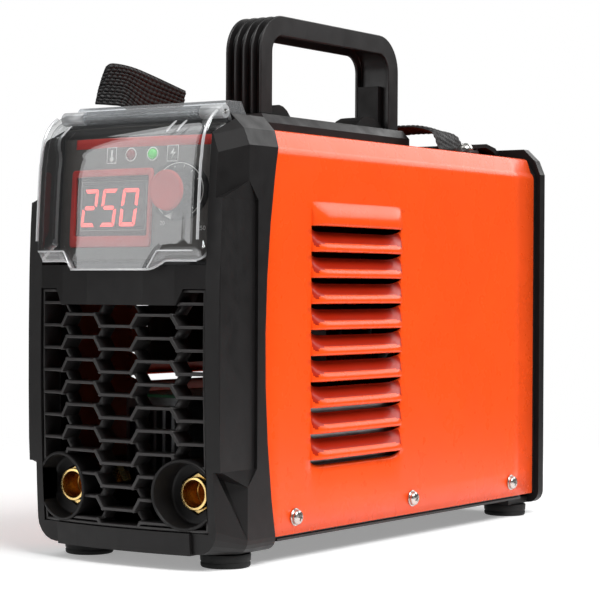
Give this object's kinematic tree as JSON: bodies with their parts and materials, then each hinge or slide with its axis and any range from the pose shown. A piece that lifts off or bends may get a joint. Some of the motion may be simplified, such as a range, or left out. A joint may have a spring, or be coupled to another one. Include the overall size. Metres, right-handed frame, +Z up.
{
  "type": "stick welding inverter",
  "caption": "Narrow portable inverter welder: steel cover, bowed honeycomb front, hinged clear lid over the panel, cable sockets, top handle and strap.",
  "frame": {"origin": "on the ground under the middle of the machine's bounding box", "axes": "+X to the machine's left hand seen from inside, which is the viewer's right when facing its front; +Y towards the fan end at the back; +Z up"},
  "size_m": [0.1244, 0.3521, 0.2788],
  "materials": {
    "black_plastic": "moulded, fine grain",
    "orange_paint": "smooth gloss powder coat",
    "black_paint": "semi-gloss",
    "steel": "bright zinc plate",
    "brass": "machined",
    "aluminium": "extruded, plain",
    "rubber": "matt",
    "label": "printed film",
    "red_plastic": "moulded, satin",
    "display": "smoked red",
    "green_lamp": "clear dome",
    "red_lamp": "clear dome",
    "clear_plastic": "clear, polished",
    "webbing": "woven",
    "circuit_board": "solder mask",
    "copper": "enamelled copper wire",
    "ferrite": "ferrite, sintered",
    "capacitor_sleeve": "heat-shrink sleeve"
  },
  "bodies": {
    "chassis": {"front_bezel": "black_plastic", "front_grille": "black_plastic", "socket_shroud_right": "black_plastic", "socket_shroud_left": "black_plastic", "dinse_socket_right": "brass", "dinse_socket_left": "brass", "socket_nut_right": "brass", "socket_nut_left": "brass", "control_plate": "black_plastic", "panel_label": "label", "display_frame": "red_plastic", "display_module": "display", "potentiometer": "steel", "power_led": "green_lamp", "fault_led": "red_lamp", "control_board": "circuit_board", "cover_hinge_pin": "steel", "cover_hinge_block": "black_plastic", "shell_cover": "orange_paint", "base_pan": "black_paint", "rear_bezel": "black_plastic", "handle_base": "black_plastic", "handle_grip": "black_plastic", "handle_bolt_front": "steel", "handle_bolt_rear": "steel", "carry_strap": "webbing", "strap_screw_front": "steel", "strap_screw_rear": "steel", "fan_frame": "black_plastic", "fan_guard": "black_paint", "rocker_switch_body": "black_plastic", "cable_gland": "black_plastic", "gland_nut": "black_plastic", "main_board": "circuit_board", "heatsink_right": "aluminium", "heatsink_left": "aluminium", "transformer_core": "ferrite", "transformer_winding": "copper", "output_choke": "copper", "bulk_capacitor_1": "capacitor_sleeve", "bulk_capacitor_2": "capacitor_sleeve", "bulk_capacitor_3": "capacitor_sleeve", "bulk_capacitor_4": "capacitor_sleeve", "bridge_rectifier": "black_plastic", "side_screw_right_front": "steel", "side_screw_left_front": "steel", "side_screw_right_middle": "steel", "side_screw_left_middle": "steel", "side_screw_right_rear": "steel", "side_screw_left_rear": "steel", "foot_front_left": "rubber", "foot_front_right": "rubber", "foot_rear_left": "rubber", "foot_rear_right": "rubber"},
    "cover": {"clear_cover": "clear_plastic"},
    "knob": {"current_knob": "red_plastic", "knob_shaft": "steel"},
    "fan": {"fan_rotor": "black_plastic"},
    "rocker": {"rocker_button": "red_plastic"}
  },
  "joints": [
    {"name": "cover_hinge", "type": "hinge", "parent": "chassis", "child": "cover", "pos_m": [0, -0.14846, 0.219], "axis": [-1, 0, 0], "range_deg": [0, 105]},
    {"name": "knob_turn", "type": "hinge", "parent": "chassis", "child": "knob", "pos_m": [0.027, -0.16496, 0.1813], "axis": [0, 1, 0], "range_deg": [-270, 0]},
    {"name": "fan_spin", "type": "hinge", "parent": "chassis", "child": "fan", "pos_m": [0, 0.14504, 0.084], "axis": [0, 1, 0], "continuous": true},
    {"name": "power_switch", "type": "hinge", "parent": "chassis", "child": "rocker", "pos_m": [0.024, 0.16084, 0.176], "axis": [1, 0, 0], "range_deg": [-16, 0]}
  ]
}
